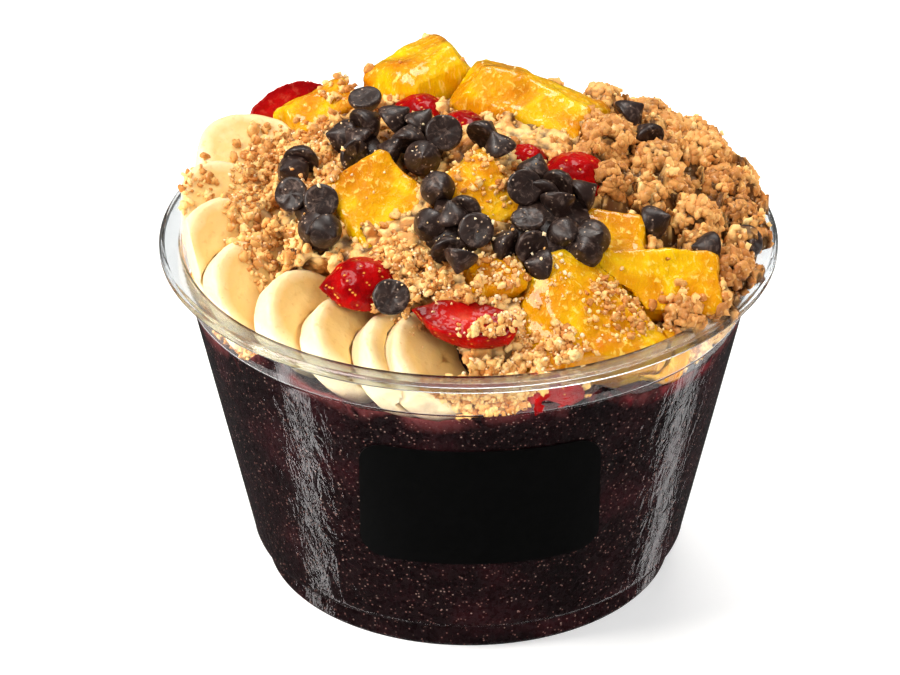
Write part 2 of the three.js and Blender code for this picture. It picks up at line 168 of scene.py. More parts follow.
# %% [markdown]
# The finishes are all built of the same few nodes: noise, cells, a colour ramp, a blend and a bump. Short
# helpers keep each finish readable. Patterns follow the object's own coordinates or a mark on the mesh. A
# socket knows the tree that it is in (its id_data), so most helpers need no tree given.
# %% a new finish and its first nodes
def tint(r, g, b):
    """A colour given as 0-255, as light."""
    return tuple(((c / 255 + 0.055) / 1.055) ** 2.4 if c > 10 else c / 255 / 12.92 for c in (r, g, b)) + (1,)


def node(tree, kind, wires=(), **values):
    """Adds a node; wires are (socket name or number, output) pairs."""
    made = tree.nodes.new("ShaderNode" + kind)
    for key, value in values.items():
        name = key.replace("_", " ")
        if name in made.inputs:
            made.inputs[name].default_value = value
        else:
            setattr(made, key, value)
    for socket, output in wires:
        tree.links.new(output, made.inputs[socket])
    return made


def new_finish(name, **sockets):
    """A finish with constants on its shader's sockets; returns it, the shader and the place on the object."""
    finish = bpy.data.materials.new(name)
    finish.use_nodes = True
    shader = finish.node_tree.nodes["Principled BSDF"]
    for socket, value in sockets.items():
        shader.inputs[socket.replace("_", " ")].default_value = value
    return finish, shader, node(finish.node_tree, "TexCoord").outputs["Object"]


def drive(shader, socket, output):
    shader.id_data.links.new(output, shader.inputs[socket])


def marked(shader, name):
    """The number that mark() kept under a name."""
    return node(shader.id_data, "Attribute", attribute_name=name).outputs["Fac"]


# %% patterns and sums
def grain(place, scale, detail=4.0, rough=0.55, bend=0.0):
    return node(place.id_data, "TexNoise", [("Vector", place)], Scale=scale, Detail=detail, Roughness=rough,
                Distortion=bend).outputs[0]


def ramp(fac, *stops):
    """A number turned to a colour, or to another number, by (position, value) stops."""
    made = node(fac.id_data, "ValToRGB", [("Fac", fac)])
    row = made.color_ramp.elements
    while len(row) < len(stops):
        row.new(0.5)
    for stop, (at, colour) in zip(row, stops):
        stop.position = at
        stop.color = colour if isinstance(colour, tuple) else (colour,) * 3 + (1,)
    return made.outputs[0]


def feed(made, values):
    """Gives each numbered socket a wire where its value is an output, and else the value itself."""
    for number, value in values.items():
        if hasattr(value, "is_output"):
            made.id_data.links.new(value, made.inputs[number])
        else:
            made.inputs[number].default_value = value
    return made


def blend(fac, a, b):
    """Colour a where fac is 0, and colour b where it is 1."""
    return feed(node(fac.id_data, "Mix", data_type="RGBA"), {0: fac, 6: a, 7: b}).outputs[2]


def sums(how, a, b):
    return feed(node(a.id_data, "Math", operation=how), {0: a, 1: b}).outputs[0]


def times(a, b):
    return sums("MULTIPLY", a, b)


# %% longer patterns
def height_on(place, axis="Z"):
    """One coordinate of a place, which is its height unless another axis is named."""
    return node(place.id_data, "SeparateXYZ", [("Vector", place)]).outputs[axis]


def stretched(place, **how):
    return node(place.id_data, "Mapping", [("Vector", place)], **how).outputs[0]


def dots(place, scale, reach, share):
    """Dots in some cells: reach is where a dot fades and ends, share is (none below, all above, how much)."""
    cells = node(place.id_data, "TexVoronoi", [("Vector", place)], Scale=scale, Randomness=1.0)
    dot = ramp(cells.outputs["Distance"], (reach[0], 1.0), (reach[1], 0.0))
    return times(dot, ramp(cells.outputs["Color"], (share[0], 0.0), (share[1], share[2])))


def worn(shader, place, scale, low, high, detail=3):
    """Lets the roughness go unevenly from low to high, each a stop of its ramp."""
    drive(shader, "Roughness", ramp(grain(place, scale, detail), low, high))


def relief(shader, height, depth, strength=1.0, under=None):
    """Bumps the shader's normal by a height, depth in millimetres."""
    wires = [("Height", height)] + ([("Normal", under)] if under else [])
    made = node(shader.id_data, "Bump", wires, Distance=depth * MM, Strength=strength).outputs[0]
    drive(shader, "Normal", made)
    return made


# %% [markdown]
# The tub is thermoformed PET: clear, stiff and 0.8 mm thick, with a ring foot, a shoulder and a rolled rim.
# It is one outline turned about the upright axis, so the spin operator makes it, and a small bevel on the
# turned corners gives the highlights that a formed sheet has.
# %% the tub's outline
WALL_SLOPE = 14.5 / 65.4
HEEL_Z, HEEL_OUTSIDE, HEEL_INSIDE = 9.6, 53.5, 52.7


def outer_radius(z):
    return HEEL_OUTSIDE + WALL_SLOPE * (z - HEEL_Z)


def inner_radius(z):
    return HEEL_INSIDE + WALL_SLOPE * (z - HEEL_Z)


def heel(crease, crease_z, radius, steps=8):
    """The quarter curve from the foot's crease up into the wall."""
    turns = [k / steps * math.pi / 2 for k in range(steps + 1)]
    return [(crease + (radius - crease) * math.sin(t), HEEL_Z - (HEEL_Z - crease_z) * math.cos(t))
            for t in turns]


TUB_OUTSIDE = [(0, 1.2), (46.6, 1.2), (47.6, 0), (49.2, 0), (50, 0.9), (49.8, 5.2)]
TUB_OUTSIDE += heel(48.8, 6, HEEL_OUTSIDE)
TUB_OUTSIDE += [(68, 75), (68.7, 75.5), (70.2, 86), (73.8, 86.1), (74, 85.2), (75, 85.2), (75, 86.8),
                (74.2, 87.5), (69.9, 87.2)]
TUB_INSIDE = [(69.3, 86.5), (67.9, 75.7), (67.2, 75)] + heel(48, 6.4, HEEL_INSIDE)[::-1]
TUB_INSIDE += [(48.9, 4.9), (49, 2.8), (48, 2), (0, 2)]


def turned(outline, steps):
    """Spins an outline of (radius, height) pairs about the upright axis."""
    bm = bmesh.new()
    row = [bm.verts.new((r, 0, z)) for r, z in outline]
    edges = [bm.edges.new(pair) for pair in zip(row, row[1:])]
    bmesh.ops.spin(bm, geom=row + edges, cent=(0, 0, 0), axis=(0, 0, 1), angle=2 * math.pi, steps=steps,
                   use_merge=True)
    bmesh.ops.remove_doubles(bm, verts=bm.verts, dist=1e-4)
    bmesh.ops.recalc_face_normals(bm, faces=bm.faces)
    return bm


# %% turning the tub, with a bevel on the corners that run round it
TUB_STEPS, CORNER = 144, math.radians(17)
bm = turned(TUB_OUTSIDE + TUB_INSIDE, TUB_STEPS)
corners = [e for e in bm.edges if len(e.link_faces) == 2 and e.calc_face_angle() > CORNER
           and abs(e.verts[0].co.z - e.verts[1].co.z) < 1e-3]
bmesh.ops.bevel(bm, geom=corners, offset=0.28, segments=3, profile=0.5, affect="EDGES", material=-1,
                clamp_overlap=True)
tub = keep("tub_clear", bm, 40)

# %% [markdown]
# Clear PET looks like nothing but its edges and what it bends. Where cold puree clings behind the wall the
# sheet seems crinkled, so a low upright bump is laid there and fades out above. The rolled rim is thicker, so
# it is a little greyer and less sharp. The tub casts no shadow, because a shadow of clear sheet is nearly
# nothing, and the food inside stays lit.
# %% the tub's finish
CLEAR, RIM_GREY = tint(250, 252, 252), tint(206, 211, 214)
RIM_FROM, RIM_TO = 0.078, 0.085
clear, shader, place = new_finish("clear_pet", Base_Color=CLEAR, Roughness=0.03, IOR=1.45,
                                 Transmission_Weight=1.0, Specular_IOR_Level=0.35)
up = height_on(place)
streaks = stretched(place, Scale=(1, 1, 0.35))
crinkle = times(grain(streaks, 330, 3, 0.6, 0.5), ramp(up, (0.068, 1.0), (0.076, 0.1)))
relief(shader, crinkle, 0.42, 0.7)
drive(shader, "Base Color", ramp(up, (RIM_FROM, CLEAR), (RIM_TO, RIM_GREY)))
drawn = ramp(grain(place, 30, 3), (0.4, 0.02), (0.75, 0.09))
rim_rough = ramp(up, (RIM_FROM, 0.02), (RIM_TO, 0.12))
drive(shader, "Roughness", sums("MAXIMUM", drawn, rim_rough))
dress(tub, "tub", clear, "tub")
tub.visible_shadow = False

# %% [markdown]
# The acai is a thick frozen puree that was pressed into the tub, so it takes the wall's shape, with no air
# between. It is turned from its own outline, reaching just into the wall. Its edge was smeared by the fruit:
# it dips under the slices and stands up between them, which moves its upper rings up and down.
# %% the acai's edge: its height at each turn about the tub, in degrees
ACAI_EDGE = [(-180, 75.5), (-150, 74.6), (-143, 75.6), (-140, 76.5), (-137, 80), (-133, 81.5), (-129, 80.8),
             (-126, 77.6), (-123, 76.6), (-119, 76.6), (-115, 75), (-112, 74), (-107, 74.8), (-96, 73.6),
             (-88, 75.2), (-81, 76.2), (-75, 78.6), (-69, 75.6), (-63, 79.0), (-57, 75), (-50, 72.8),
             (-34, 71.8), (-20, 72.8), (0, 75), (60, 76), (120, 75.2), (180, 75.5)]


def acai_edge(angle):
    wobble = 0.8 * noise.noise(Vector((math.cos(angle), math.sin(angle), 0.3)) * 9)
    wobble += 0.5 * noise.noise(Vector((math.cos(angle), math.sin(angle), 2.3)) * 26)
    return float(np.interp(math.degrees(angle), *zip(*ACAI_EDGE))) + wobble


def acai_top(x, y):
    """The puree's own low dome, under the toppings."""
    ripple = 0.7 * (math.sin(x / 5 + 1) + math.sin(y / 4 - x / 9))
    return 76.8 + 15 * (1 - (x * x + y * y) / 72 ** 2) + ripple


# %% turning the acai, first with a level top, which is then moved to its edge and its dome
INTO_WALL, SIDE_TOP, LEVEL, COVER_RADIUS, ACAI_STEPS = 0.35, 66, 80, 68, 240
foot = [(0, 1.35), (46.9, 1.35), (47.8, 0.35), (49.1, 0.35), (49.65, 1.2), (49.4, 4.9)]
side = [(r + INTO_WALL, z) for r, z in heel(48, 6.4, HEEL_INSIDE)]
side += [(inner_radius(z) + INTO_WALL, z) for z in np.arange(12, SIDE_TOP + 0.1, 3)]
rise = [(inner_radius(z) + INTO_WALL, z) for z in np.linspace(SIDE_TOP + 1, LEVEL, 24)]
cover = [(r, LEVEL + 0.0001 * r) for r in (67.2, 66.2, 64.5, 62, 58, 52, 44, 34, 22, 10, 0)]
bm = turned(foot + side + rise + cover, ACAI_STEPS)
for v in bm.verts:
    radius, angle = math.hypot(v.co.x, v.co.y), math.atan2(v.co.y, v.co.x)
    edge = acai_edge(angle)
    if v.co.z > LEVEL - 0.01 and radius < COVER_RADIUS:
        trough = -1.4 * min(1, (COVER_RADIUS - radius) / 3)
        inward = min(1, max(0, (60 - radius) / 10))
        v.co.z = edge + 0.3 + trough + (acai_top(v.co.x, v.co.y) - edge) * inward
    elif v.co.z > SIDE_TOP:
        v.co.z = SIDE_TOP + (v.co.z - SIDE_TOP) * (edge - SIDE_TOP) / (LEVEL - SIDE_TOP)
        fit = (inner_radius(v.co.z) + INTO_WALL) / radius
        v.co.x, v.co.y = v.co.x * fit, v.co.y * fit
acai = keep("acai_puree", bm)
acai_points = points(acai)
turns = np.arctan2(acai_points[:, 1], acai_points[:, 0])
below = np.array([acai_edge(t) for t in turns]) - acai_points[:, 2]
mark(acai, "below_edge", np.clip(below / 10, 0, 1))

# %% [markdown]
# Frozen acai is nearly black purple-brown, full of pale specks of skin and ice. Against the wall it melts to
# a film that crinkles the light. Near its edge it is smeared thinner, mauve and red with berry juice.
# %% the acai's finish
puree, shader, place = new_finish("acai_puree", Roughness=0.4, IOR=1.4, Specular_IOR_Level=0.14)
clouds = grain(place, 60, 5)
colour = ramp(clouds, (0.3, tint(13, 3, 4)), (0.5, tint(22, 6, 8)), (0.72, tint(48, 18, 22)))
for scale, size, shade in ((1000, 0.14, tint(170, 122, 112)), (640, 0.07, tint(214, 176, 160)),
                           (1100, 0.2, tint(10, 2, 4))):
    colour = blend(dots(place, scale, (size, size + 0.1), (0.42, 0.6, 0.8)), colour, shade)
edge_band = ramp(marked(shader, "below_edge"), (0.0, 1.0), (0.45, 0.0))
smear = ramp(grain(place, 90, 4, bend=1.0), (0.45, 0.0), (0.6, 0.8))
colour = blend(times(edge_band, smear), colour, tint(126, 62, 62))
berry_side = ramp(height_on(place, "X"), (0.0, 0.0), (0.02, 1.0))
juice = times(times(edge_band, berry_side),
              ramp(grain(place, 120, 3, bend=1.5), (0.5, 0.0), (0.66, 0.7)))
colour = blend(juice, colour, tint(150, 30, 44))
drive(shader, "Base Color", colour)
upright = stretched(place, Scale=(1, 1, 0.55))
film = relief(shader, grain(upright, 240, 7, 0.72, 0.4), 1.6, 0.9)
relief(shader, grain(place, 800, 3), 0.25, 0.6, film)
worn(shader, place, 700, (0.4, 0.16), (0.62, 0.44))
dress(acai, "acai", puree, "acai")

# %% [markdown]
# The label is a black satin sticker with rounded corners on the front of the wall, and it is bare. A grid of
# fine squares is cut round at its corners by drawing those points in, and then laid on the cone of the wall.
# %% the label
LABEL_W, LABEL_H, LABEL_CORNER, LABEL_X, LABEL_Z, LABEL_THICK, LABEL_GAP = 57, 35.6, 6, 2.7, 46.5, 0.35, 0.02
bm = bmesh.new()
bmesh.ops.create_grid(bm, x_segments=56, y_segments=36, size=0.5)
bmesh.ops.scale(bm, vec=(LABEL_W, LABEL_H, 1), verts=bm.verts)
for v in bm.verts:
    hold = Vector((LABEL_W / 2 - LABEL_CORNER, LABEL_H / 2 - LABEL_CORNER))
    over = Vector((max(0, abs(v.co.x) - hold.x), max(0, abs(v.co.y) - hold.y)))
    if over.x > 0 and over.y > 0:
        over *= max(over) / over.length
        v.co.x, v.co.y = math.copysign(hold.x + over.x, v.co.x), math.copysign(hold.y + over.y, v.co.y)
shell = bmesh.ops.extrude_face_region(bm, geom=bm.faces[:])["geom"]
outer = {v for v in shell if isinstance(v, bmesh.types.BMVert)}
for v in bm.verts:
    x, z = v.co.x + LABEL_X, v.co.y + LABEL_Z
    radius = outer_radius(z) + (LABEL_THICK if v in outer else LABEL_GAP)
    v.co = (x, -math.sqrt(radius ** 2 - x * x), z)
bmesh.ops.recalc_face_normals(bm, faces=bm.faces)
label = keep("label_sticker", bm, 40)

# %% the label's finish
satin, shader, place = new_finish("black_satin", Roughness=0.42, IOR=1.5, Specular_IOR_Level=0.2)
drive(shader, "Base Color", ramp(grain(place, 500, 5), (0.3, tint(4, 4, 4)), (0.7, tint(8, 8, 8))))
worn(shader, place, 900, (0.3, 0.36), (0.7, 0.5), detail=4)
relief(shader, grain(place, 1500, 3), 0.02, 0.5)
dress(label, "label", satin, "label")

# %% [markdown]
# The banana is sliced on the slant, and the slices lean on each other along the wall. A slice is pale flesh:
# cream at its rim, yellower and clearer inside, with three seed lines that meet in the middle. Marks on its
# points tell the finish how far each is from the middle, whether it is on a cut face or on the side, and
# where the seed lines run. At the wall its lowest edge is stained by the puree.
# %% the banana's flesh, and a row for each slice: x, y, z, tilt, heading, radius
BANANAS = [(-7, -53.5, 80.5, 38, -26, 14.2), (-14, -53, 81, 38, -28, 13.4), (-26, -48, 83, 38, -32, 13.4),
           (-37, -40, 84.5, 40, -38, 13.6), (-49, -28, 85.5, 42, -46, 14.2),
           (-56, -16, 90.5, 42, -50, 14.2), (-58, 0, 93, 32, -45, 13.6), (-52.5, 19, 97, 25, -60, 14)]
SLICE_TOP, SLICE_THICK, SLICE_SIDES = 2.8, 8, 14


def banana_flesh():
    flesh, shader, place = new_finish("banana_flesh", Roughness=0.42, IOR=1.4, Subsurface_Weight=0.25,
                                     Subsurface_Radius=(0.004, 0.0025, 0.001), Subsurface_Scale=1.0)
    uneven = times(sums("SUBTRACT", grain(place, 160, 4), 0.5), 0.22)
    reach = sums("ADD", marked(shader, "reach"), uneven)
    inside = ramp(reach, (0.0, tint(196, 146, 80)), (0.12, tint(222, 178, 104)),
                  (0.42, tint(231, 193, 122)), (0.72, tint(226, 184, 110)), (0.88, tint(238, 210, 154)),
                  (1.0, tint(241, 222, 180)))
    seeds = ramp(marked(shader, "seed_line"), (0.25, 0.0), (0.8, 0.8))
    inside = blend(seeds, inside, tint(150, 96, 44))
    stain = ramp(grain(place, 110, 4), (0.6, 0.0), (0.78, 0.35))
    inside = blend(stain, inside, tint(222, 150, 92))
    pores = ramp(grain(place, 620, 3), (0.6, 0.0), (0.72, 0.4))
    inside = blend(pores, inside, tint(200, 146, 76))
    colour = blend(marked(shader, "face"), tint(241, 218, 174), inside)
    torn = times(sums("SUBTRACT", grain(place, 190, 3), 0.5), 0.009)
    smeared = ramp(sums("ADD", height_on(place), torn), (0.0735, 0.85), (0.0765, 0.3),
                   (0.0785, 0.0))
    colour = blend(smeared, colour, tint(104, 56, 58))
    drive(shader, "Base Color", colour)
    under = relief(shader, grain(place, 420, 4), 0.4, 0.5)
    relief(shader, grain(place, 1500, 2), 0.1, 0.3, under)
    worn(shader, place, 300, (0.35, 0.3), (0.7, 0.55))
    return flesh


# %% laying the slices: each many-sided solid is made rounder, and is kept inside the wall
FLANGE_Z, WALL_CLEARANCE = 86, 0.35
flesh = banana_flesh()
for k, (x, y, z, tilt, heading, radius) in enumerate(BANANAS):
    stand = leaned((x, y, z), tilt, heading, 40 * k)
    piece = softened(f"banana_{k + 1}", 0.5, 4)
    own = own_points(piece, stand)
    turn, reach = np.arctan2(own[:, 1], own[:, 0]), np.hypot(own[:, 0], own[:, 1])
    step = 2 * math.pi / SLICE_SIDES
    fuller = np.cos((turn + step / 2) % step - step / 2) / math.cos(step / 2)
    near_rim = np.clip((reach / radius - 0.6) / 0.3, 0, 1)
    own[:, :2] *= (1 + 0.85 * (np.maximum(fuller, 1) - 1) * near_rim)[:, None]
    up = (own[:, 2] - SLICE_TOP + SLICE_THICK / 2) / (SLICE_THICK / 2)
    middle = np.exp(-(reach / 3.2) ** 2)
    three = np.cos(1.5 * (turn + 0.5 * k)) ** 12
    own[:, 2] -= np.sign(up) * (np.abs(up) > 0.6) * (0.35 * middle + 0.12 * three * (reach < 0.55 * radius))
    laid = from_own(own, stand)
    out = np.hypot(laid[:, 0], laid[:, 1])
    fit = np.minimum(1, (inner_radius(np.minimum(laid[:, 2], FLANGE_Z)) - WALL_CLEARANCE) / out)
    laid[:, :2] *= fit[:, None]
    move_points(piece, laid)
    swell(piece, 10 + k, (11, 0.25), (4.2, 0.16), (1.8, 0.05))
    outward = normals(piece) @ np.array(stand.to_3x3())[:, 2]
    mark(piece, "reach", np.clip(reach / radius, 0, 1))
    mark(piece, "face", np.clip((np.abs(outward) - 0.35) / 0.4, 0, 1))
    thread = 0.5 * three * np.clip(1 - reach / (0.5 * radius), 0, 1)
    mark(piece, "seed_line", np.clip(np.exp(-(reach / 0.9) ** 2) + thread, 0, 1))
    piece.name = f"banana_slice_{k + 1}"
    dress(piece, "banana", flesh, f"banana_{k + 1}")

# %% [markdown]
# Mango chunks are cut by hand into blunt blocks. Their faces are wet and amber, with soft fibres along the
# fruit, orange near the stone and slightly dented where the knife slipped.
# %% the mango's flesh, and its edges
def drawn_in(piece, solid_name):
    """How far softening drew each point in from the solid: little on its faces, most on its edges."""
    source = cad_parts[solid_name].data
    corners = [v.co / MM for v in source.vertices]
    solid = BVHTree.FromPolygons(corners, [tuple(f.vertices) for f in source.polygons])
    return np.array([solid.find_nearest(Vector(p))[3] for p in points(piece)])


def mango_flesh():
    mango, shader, place = new_finish("mango_flesh", Roughness=0.3, IOR=1.4, Specular_IOR_Level=0.2,
                                     Subsurface_Weight=0.1, Subsurface_Radius=(0.004, 0.0018, 0.0004),
                                     Subsurface_Scale=1.0, Coat_Weight=0.6, Coat_Roughness=0.05)
    patches = grain(place, 95, 4, bend=0.6)
    colour = ramp(patches, (0.3, tint(198, 114, 0)), (0.5, tint(220, 151, 0)), (0.68, tint(235, 190, 6)))
    long_way = stretched(place, Scale=(1, 1, 0.22), Rotation=(0.5, 0.4, 0))
    fibres = grain(long_way, 820, 3, 0.6, 0.4)
    colour = blend(ramp(fibres, (0.56, 0.0), (0.66, 0.6)), colour, tint(255, 222, 110))
    stone = ramp(grain(place, 85, 4), (0.6, 0.0), (0.72, 0.55))
    colour = blend(stone, colour, tint(216, 112, 4))
    speck = dots(place, 210, (0.07, 0.13), (0.6, 0.7, 0.8))
    colour = blend(speck, colour, tint(120, 56, 12))
    ragged = ramp(grain(place, 260, 4), (0.36, 0.0), (0.6, 1.0))
    colour = blend(times(marked(shader, "edge"), ragged), colour, tint(214, 108, 10))
    drive(shader, "Base Color", colour)
    under = relief(shader, fibres, 0.8, 0.6)
    relief(shader, grain(place, 300, 4), 0.8, 0.5, under)
    worn(shader, place, 160, (0.35, 0.2), (0.7, 0.5))
    return mango


# %% softening the chunks
MANGO_CHUNKS = 10
mango = mango_flesh()
for k in range(MANGO_CHUNKS):
    piece = softened(f"mango_{k + 1}", 0.6, 5)
    mark(piece, "edge", np.clip((drawn_in(piece, f"mango_{k + 1}") - 0.1) / 0.7, 0, 1))
    swell(piece, 40 + k, (12, 1.2), (5, 0.6), (1.7, 0.18))
    piece.name = f"mango_chunk_{k + 1}"
    dress(piece, "mango", mango, f"mango_{k + 1}")

# %% [markdown]
# Strawberries are cut lengthways. The skin is glossy red with pale seeds that sit in pits, and the cut face
# is paler towards the middle. The seeds lie in a spiral round the berry, as on the plant, and each one pits
# the skin and marks its points.
# %% strawberries, each a row: x, y, z, tilt, heading, spin, length, radius, height of the cut (in radii)
BERRIES = [(-44.5, 38, 98.5, 50, -70, 35, 27, 8.6, 0), (-13, 22, 104.5, 170, -90, 0, 18, 8.5, 0),
           (-2, 11, 106.5, 170, -90, -30, 15, 7.5, 0), (24, -5, 101, 165, 90, 40, 20, 10.5, 0),
           (-26, -40.5, 94, 165, 120, 54, 19, 7.5, 0.1), (-1, -54.5, 93.5, 12, -90, -16, 26, 6.5, 0.1),
           (18.5, -60, 77.5, 95, 80, 0, 18, 7.5, 0), (13, -1, 105.5, 170, -90, 40, 13, 6, 0)]
BERRY_SIDES, SEED_GAP, GOLDEN = 8, 1.55, 2.39996
BERRY_ALONG, BERRY_GIRTH = (-1, -0.5, 0.24, 0.88, 1), (0, 0.68, 1, 0.64, 0)


def berry_flesh():
    berry, shader, place = new_finish("strawberry", Roughness=0.34, IOR=1.4, Specular_IOR_Level=0.08,
                                     Subsurface_Weight=0.12, Subsurface_Radius=(0.003, 0.0006, 0.0004),
                                     Subsurface_Scale=1.0, Coat_Weight=0.25, Coat_Roughness=0.04)
    skin = ramp(grain(place, 150, 4), (0.3, tint(112, 0, 3)), (0.55, tint(168, 2, 4)),
                (0.8, tint(196, 10, 8)))
    skin = blend(ramp(marked(shader, "seed"), (0.35, 0.0), (0.7, 0.9)), skin, tint(226, 152, 62))
    cut = ramp(marked(shader, "core"), (0.0, tint(208, 76, 54)), (0.3, tint(188, 26, 20)),
               (0.7, tint(172, 8, 8)), (1.0, tint(138, 2, 5)))
    juicy = ramp(grain(place, 480, 4, bend=0.5), (0.52, 0.0), (0.75, 0.3))
    cut = blend(juicy, cut, tint(232, 104, 78))
    drive(shader, "Base Color", blend(marked(shader, "cut"), skin, cut))
    under = relief(shader, grain(place, 420, 4), 0.8, 0.8)
    relief(shader, grain(place, 900, 3), 0.2, 0.4, under)
    return berry


# %% one spiral of seeds
def nearest_seed(own, along, length, radius):
    """How far each point of a berry is from the nearest seed; a seed is longer than it is wide."""
    rows = np.repeat(np.arange(-length / 2 + 1.5, length / 2 - 1, SEED_GAP * 0.42), 3)
    count = np.arange(len(rows))
    third = 2.0944
    seed_turn = (GOLDEN * (count // 3 + 1) + (count % 3) * third + 0.25 * np.sin(count * 3.7)) % (2 * math.pi)
    girth = np.maximum(np.interp(along, BERRY_ALONG, BERRY_GIRTH) * radius, 2)
    around = np.arctan2(own[:, 1], -own[:, 2])
    near, batch = np.empty(len(own)), 4000
    for start in range(0, len(own), batch):
        part = slice(start, start + batch)
        dx = own[part, 0][:, None] - rows[None, :]
        da = (around[part][:, None] - seed_turn[None, :] + math.pi) % (2 * math.pi) - math.pi
        near[part] = np.sqrt((dx / 1.35) ** 2 + (da * girth[part][:, None]) ** 2).min(axis=1)
    return near


# %% laying the berries: each many-sided solid is made round, pitted by its seeds and marked
strawberry = berry_flesh()
for k, (x, y, z, tilt, heading, spin, length, radius, cut) in enumerate(BERRIES):
    stand = leaned((x, y, z), tilt, heading, spin)
    piece = softened(f"strawberry_{k + 1}", 0.3, 5)
    own = own_points(piece, stand)
    turn, reach = np.arctan2(own[:, 1], own[:, 2]), np.hypot(own[:, 1], own[:, 2])
    step = 2 * math.pi / BERRY_SIDES
    fuller = np.maximum(np.cos(turn % step - step / 2) / math.cos(step / 2), 1)
    below_cut = np.clip((cut * radius - 0.4 - own[:, 2]) / 1.5, 0, 1)
    along = own[:, 0] / (length / 2)
    rounder = np.sqrt(np.maximum(1 - (np.abs(along - 0.15) / np.where(along > 0.15, 0.85, 1.15)) ** 2.1, 0.02))
    plain = np.maximum(np.interp(along, BERRY_ALONG, BERRY_GIRTH), 0.12)
    plump = np.clip(rounder / plain, 0.93, 1.16)
    own[:, 1] *= plump * (1 + 0.7 * (fuller - 1) * below_cut)
    own[:, 2] *= 1 + (plump * (1 + 0.7 * (fuller - 1)) - 1) * below_cut
    move_points(piece, from_own(own, stand))
    facing = normals(piece) @ np.array(stand.to_3x3())[:, 2]
    on_cut = np.clip((facing - 0.6) / 0.25, 0, 1) * (own[:, 2] > cut * radius - 1)
    near = nearest_seed(own, along, length, radius)
    dent = -0.5 * np.exp(-(near / 0.62) ** 2) + 0.36 * np.exp(-(near / 0.3) ** 2)
    move_points(piece, points(piece) + normals(piece) * (dent * (1 - on_cut))[:, None])
    swell(piece, 70 + k, (6, 0.3), (1.4, 0.16))
    mark(piece, "seed", np.clip(1.15 - near / 0.36, 0, 1) * (1 - on_cut))
    mark(piece, "cut", on_cut)
    mark(piece, "core", np.clip(np.hypot(own[:, 0] * 0.75, own[:, 1]) / (radius * 0.95), 0, 1))
    piece.name = f"strawberry_half_{k + 1}"
    dress(piece, "strawberry", strawberry, f"strawberry_{k + 1}")

# %% [markdown]
# Chocolate chips are dropped from a nozzle: a flat round base, a low dome and a small tip. Each chip is one
# outline spun about its own axis, dented a little, and laid down where the part has it: `lift` is how far
# above the mound's own curve its middle lies. A large heap of chips stands on a core, which is the hull round
# their middles.
# %% one chip
CHIP_OUTLINE = [(0, -2.35), (1.2, -2.38), (2.6, -2.5), (3.6, -2.56), (4.0, -2.5), (4.28, -2.25),
                (4.4, -1.85), (4.34, -1.35), (4.1, -0.75), (3.7, -0.05), (3.2, 0.62), (2.6, 1.3),
                (2.0, 1.9), (1.4, 2.5), (0.95, 3.0), (0.62, 3.4), (0.35, 3.68), (0, 3.8)]
CHIP_LIFT = 2.4


def mound_top(x, y):
    return 89.5 + 24 * (1 - (x * x + (y - 8) ** 2) / 72 ** 2)


def pour(heap, whole):
    """Adds one bmesh to another, and frees it."""
    mesh = bpy.data.meshes.new("heap")
    heap.to_mesh(mesh)
    heap.free()
    whole.from_mesh(mesh)
    bpy.data.meshes.remove(mesh)


def add_chip(bm, x, y, lift, tilt, heading, seed):
    """One chip, with a wavy rim, a shrunk base and fine pits, added to a bmesh."""
    chip = turned(CHIP_OUTLINE, 36)
    random.seed(seed)
    size, squash = random.uniform(0.93, 1.03), random.uniform(0.9, 1.0)
    wrinkled = random.random() < 0.7
    shift = Vector((seed * 7.7, seed * 3.1, 0))
    for v in chip.verts:
        radius = math.hypot(v.co.x, v.co.y)
        on_base = v.co.z < -2.2 and radius < 3.9
        wave = noise.noise(v.co / 3.0 + shift) * 0.16 + noise.noise(v.co / 0.9 + shift) * 0.04
        if on_base:
            fold = noise.ridged_multi_fractal(v.co / 2.2 + shift, 0.9, 2.0, 3, 1.0, 2.0)
            wave += (0.5 if wrinkled else 0.12) * (fold - 1)
        elif wrinkled:
            around = math.atan2(v.co.y, v.co.x) * 1.6
            wave -= 0.35 * max(0, noise.noise(Vector((around, v.co.z / 9, seed))) - 0.1)
        v.co += (Vector((0, 0, 1)) if on_base else v.co.normalized()) * wave
        v.co = Vector((v.co.x * size, v.co.y * size, v.co.z * size * squash))
    z = mound_top(x, y) + CHIP_LIFT + lift
    bmesh.ops.transform(chip, matrix=leaned((x, y, z), tilt, heading), verts=chip.verts)
    pour(chip, bm)
    return Vector((x, y, z))


# %% [markdown]
# Plain chocolate that was shaken in its bag is satin, not glossy, and a fine pale dust of sugar and crumbs
# sticks to it. Its broad sheen is what shows most.
# %% the chocolate finish
chocolate, shader, place = new_finish("dark_chocolate", Roughness=0.42, IOR=1.46)
colour = ramp(grain(place, 300, 4), (0.3, tint(28, 17, 14)), (0.7, tint(46, 30, 25)))
bloom = ramp(grain(place, 420, 6, 0.75, 1.2), (0.52, 0.0), (0.68, 0.55))
colour = blend(bloom, colour, tint(132, 108, 96))
colour = blend(dots(place, 900, (0.16, 0.26), (0.6, 0.72, 0.75)), colour, tint(190, 160, 135))
drive(shader, "Base Color", colour)
under = relief(shader, grain(place, 520, 5), 0.16, 0.5)
relief(shader, grain(place, 1900, 3), 0.05, 0.5, under)
worn(shader, place, 380, (0.35, 0.34), (0.7, 0.52))

